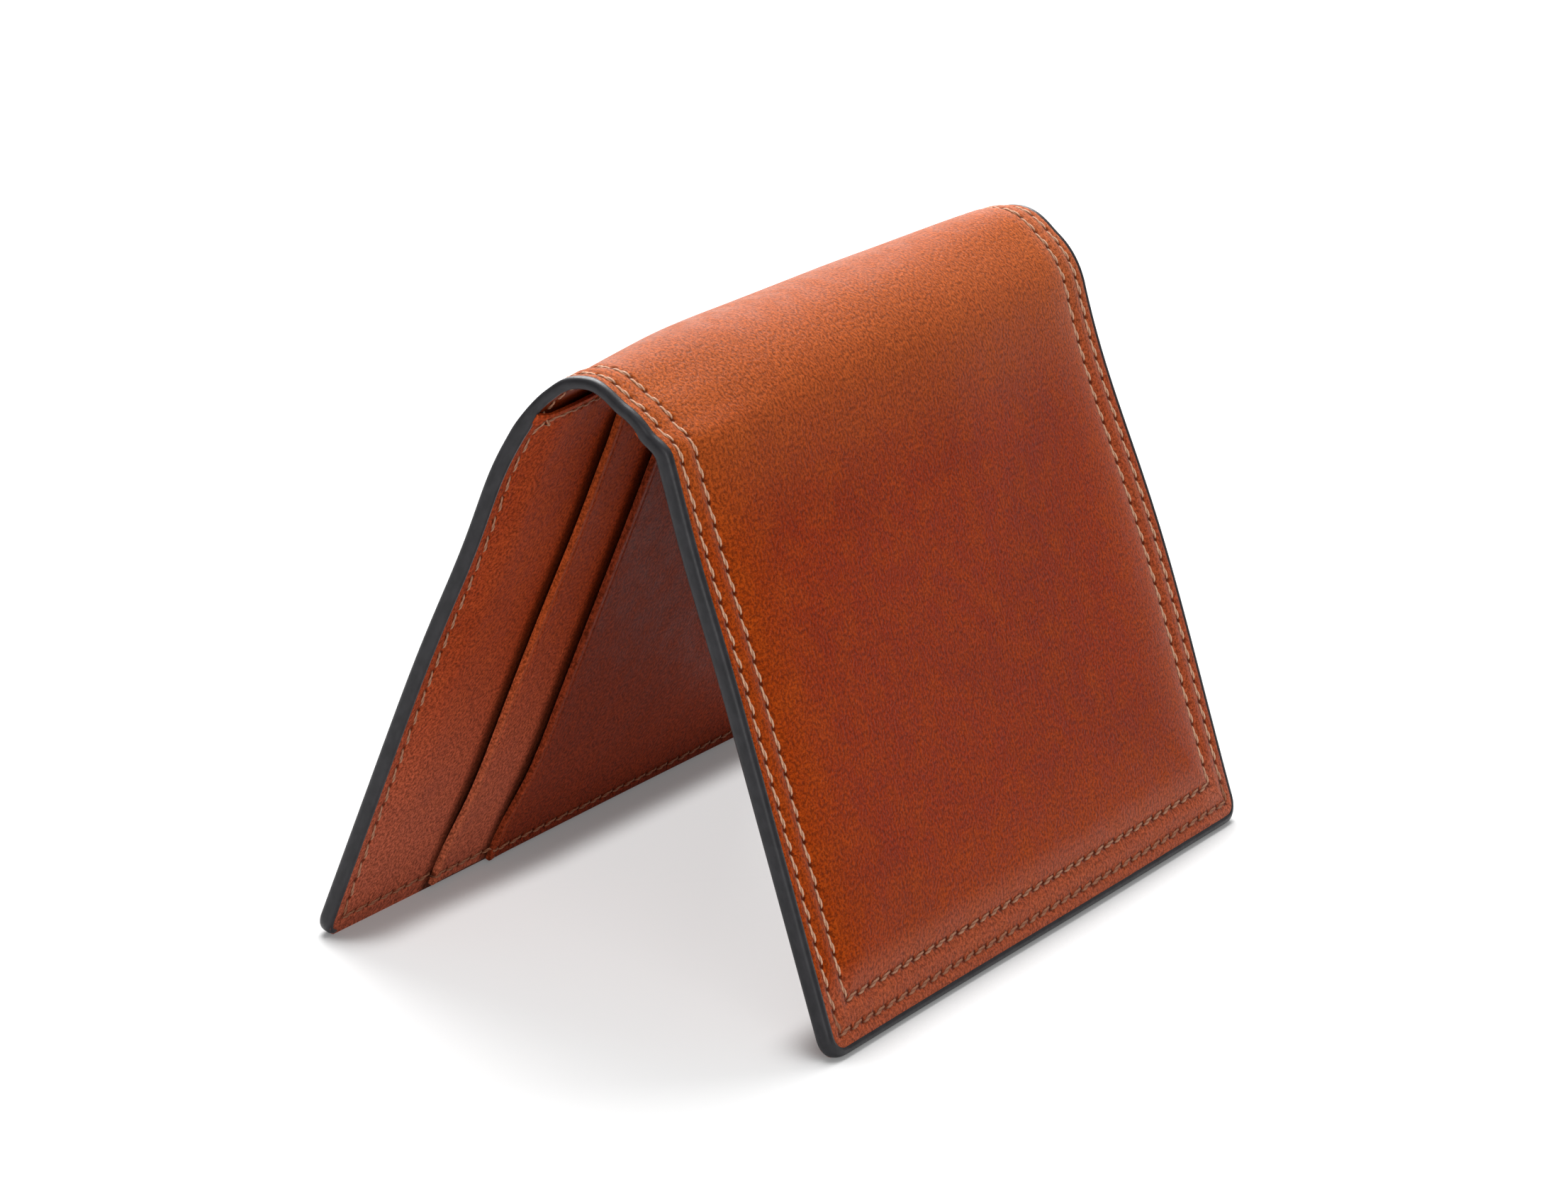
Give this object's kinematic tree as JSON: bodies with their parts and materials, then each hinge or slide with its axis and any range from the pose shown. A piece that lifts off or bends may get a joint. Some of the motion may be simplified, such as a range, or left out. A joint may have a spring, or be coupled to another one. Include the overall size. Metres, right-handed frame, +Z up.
{
  "type": "bifold wallet",
  "caption": "Vertical bifold leather wallet standing open as a tent, with double stitched covers, painted edges and stepped card pockets.",
  "frame": {"origin": "centre of the standing wallet at floor level, under the crest of the spine", "axes": "+Z up; +Y along the spine, away from the end the card pockets open toward; the right wing toward +X"},
  "size_m": [0.0888, 0.131, 0.094],
  "materials": {
    "cover_leather": "polished vegetable tanned, light satin gloss",
    "lining_leather": "smooth satin",
    "panel_leather": "smooth satin with fine grain",
    "padding_felt": "felted, hidden",
    "thread": "waxed twisted thread",
    "edge_paint": "satin edge paint"
  },
  "bodies": {
    "right_wing": {"cover_right": "cover_leather", "padding_right": "padding_felt", "lining_right": "lining_leather", "backing_panel_right": "panel_leather", "pocket_middle_right": "panel_leather", "pocket_front_right": "panel_leather", "stitches_outer_right": "thread", "stitches_inner_right": "thread", "stitches_panel_right": "thread", "paint_foot_right": "edge_paint", "paint_ends_right": "edge_paint"},
    "left_wing": {"cover_left": "cover_leather", "padding_left": "padding_felt", "lining_left": "lining_leather", "backing_panel_left": "panel_leather", "pocket_middle_left": "panel_leather", "pocket_front_left": "panel_leather", "stitches_outer_left": "thread", "stitches_inner_left": "thread", "stitches_panel_left": "thread", "paint_foot_left": "edge_paint", "paint_ends_left": "edge_paint"},
    "spine": {"cover_spine": "cover_leather", "lining_spine": "lining_leather", "stitches_outer_spine": "thread", "stitches_inner_spine": "thread", "stitches_lining_spine": "thread", "paint_spine": "edge_paint"}
  },
  "joints": [
    {"name": "right_fold", "type": "hinge", "parent": "spine", "child": "right_wing", "pos_m": [0.00928, 0, 0.09173], "axis": [0, -1, 0], "range_deg": [-22.5, 70], "deforming": ["cover_spine", "lining_spine", "stitches_outer_spine", "stitches_inner_spine", "stitches_lining_spine", "paint_spine"]},
    {"name": "left_fold", "type": "hinge", "parent": "spine", "child": "left_wing", "pos_m": [-0.00928, 0, 0.09173], "axis": [0, 1, 0], "range_deg": [-22.5, 70]}
  ],
  "couplings": [
    {"joint": "left_fold", "follows": "right_fold", "ratio": 1}
  ]
}
